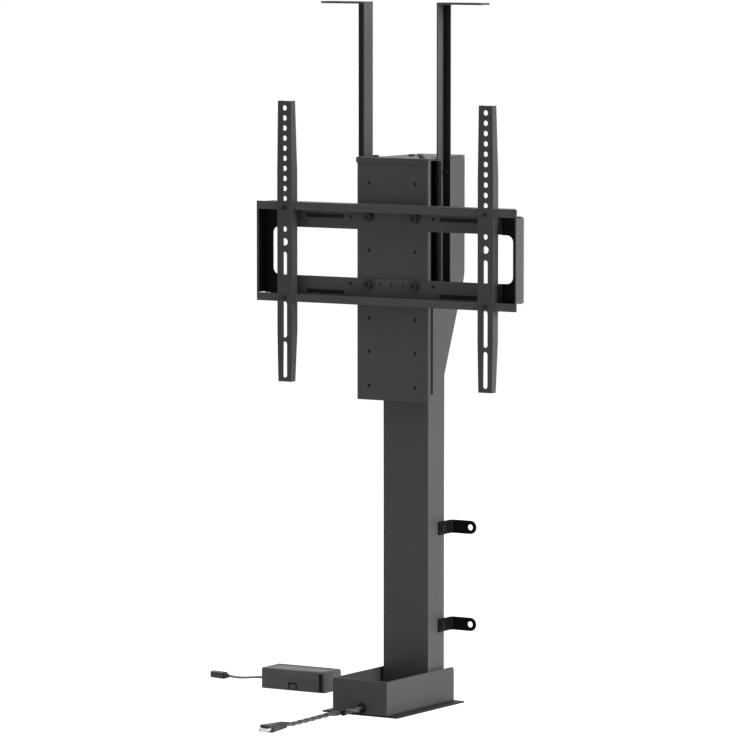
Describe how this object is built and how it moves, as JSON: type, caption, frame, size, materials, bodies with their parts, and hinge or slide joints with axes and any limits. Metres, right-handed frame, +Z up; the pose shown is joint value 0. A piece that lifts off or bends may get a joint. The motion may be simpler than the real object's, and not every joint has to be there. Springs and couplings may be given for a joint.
{
  "type": "motorized screen lift stand",
  "caption": "Motorized lift stand for a flat screen: floor plate and tray, telescoping steel column, lift carriage with screen frame and arms, poles that raise a cabinet lid.",
  "frame": {"origin": "on the floor, under the centre of the column's front face", "axes": "+Z up, +X to the right as seen by someone who faces the screen side, -Y to the front, where the screen hangs"},
  "size_m": [0.6256, 0.455, 1.047],
  "materials": {
    "column_paint": "fine-textured powder coat",
    "base_paint": "fine-textured powder coat",
    "carriage_paint": "fine-textured powder coat",
    "frame_paint": "fine-textured powder coat",
    "arm_paint": "fine-textured powder coat",
    "pole_paint": "fine-textured powder coat",
    "black_steel": "satin black paint",
    "zinc_screws": "dull zinc plate",
    "black_screws": "black oxide",
    "bearing_steel": "ground steel",
    "motor_can": "drawn steel",
    "gearbox_cast": "die cast",
    "plug_block": "milled",
    "brass": "machined",
    "gear_plastic": "moulded",
    "guide_plastic": "moulded",
    "box_plastic": "fine spark-eroded texture",
    "port_plastic": "moulded",
    "circuit_board": "varnished laminate",
    "board_blocks": "moulded",
    "gland_rubber": "matte",
    "cord_rubber": "matte",
    "plug_plastic": "moulded",
    "plug_contact": "nickel plate"
  },
  "bodies": {
    "stand": {"floor_plate": "base_paint", "foot_tray": "base_paint", "column_shell": "column_paint", "column_foot": "black_steel", "foot_screws": "zinc_screws", "thrust_bearing": "bearing_steel", "top_guide": "guide_plastic", "guide_channel": "black_steel", "drive_plate": "black_steel", "upper_bearing": "bearing_steel", "motor": "motor_can", "gearbox": "gearbox_cast", "motor_screws": "zinc_screws", "motor_lead": "cord_rubber", "outlet_gland": "gland_rubber", "upper_bracket": "black_steel", "lower_bracket": "black_steel", "bracket_screws": "zinc_screws", "control_base": "box_plastic", "control_lid": "box_plastic", "control_board": "circuit_board", "board_parts": "board_blocks", "control_port": "port_plastic", "control_screws": "zinc_screws", "control_gland": "gland_rubber", "control_lead": "cord_rubber", "control_plug": "plug_plastic", "tray_lead": "cord_rubber", "lead_sleeve": "gland_rubber", "tray_plug": "plug_plastic", "tray_plug_tip": "plug_contact"},
    "carriage": {"mast": "column_paint", "mast_plug": "plug_block", "mast_shoe": "guide_plastic", "lift_nut": "brass", "nut_screws": "zinc_screws", "cap_plate": "column_paint", "cap_screws": "black_screws", "hanger": "black_steel", "left_rail": "black_steel", "right_rail": "black_steel", "carriage_plate": "carriage_paint", "screen_frame": "frame_paint", "frame_bolts": "black_screws", "frame_washers": "black_screws", "frame_nuts": "zinc_screws"},
    "screw": {"lead_screw": "bearing_steel", "screw_gear": "brass"},
    "output_shaft": {"motor_shaft": "bearing_steel", "motor_gear": "gear_plastic"},
    "left_arm": {"left_arm": "arm_paint", "left_arm_screws": "black_screws"},
    "right_arm": {"right_arm": "arm_paint", "right_arm_screws": "black_screws"},
    "left_pole": {"left_lid_pole": "pole_paint", "left_clamp_strip": "black_steel", "left_pole_screws": "zinc_screws"},
    "right_pole": {"right_lid_pole": "pole_paint", "right_clamp_strip": "black_steel", "right_pole_screws": "zinc_screws"}
  },
  "joints": [
    {"name": "lift", "type": "slide", "parent": "stand", "child": "carriage", "axis": [0, 0, 1], "range_m": [0, 0.6]},
    {"name": "screw_spin", "type": "hinge", "parent": "stand", "child": "screw", "pos_m": [0, 0.023, 0.4], "axis": [0, 0, 1], "range_deg": [-10800, 0]},
    {"name": "shaft_spin", "type": "hinge", "parent": "stand", "child": "output_shaft", "pos_m": [0, 0.067, 0.74], "axis": [0, 0, 1], "range_deg": [0, 4050]},
    {"name": "left_arm_slide", "type": "slide", "parent": "carriage", "child": "left_arm", "axis": [1, 0, 0], "range_m": [-0.026, 0.074]},
    {"name": "right_arm_slide", "type": "slide", "parent": "carriage", "child": "right_arm", "axis": [1, 0, 0], "range_m": [-0.074, 0.026]},
    {"name": "left_pole_height", "type": "slide", "parent": "carriage", "child": "left_pole", "axis": [0, 0, 1], "range_m": [0, 0.04]},
    {"name": "right_pole_height", "type": "slide", "parent": "carriage", "child": "right_pole", "axis": [0, 0, 1], "range_m": [0, 0.04]}
  ],
  "couplings": [
    {"joint": "screw_spin", "follows": "lift", "rad_per_m": -314.16},
    {"joint": "shaft_spin", "follows": "lift", "rad_per_m": 117.81}
  ]
}
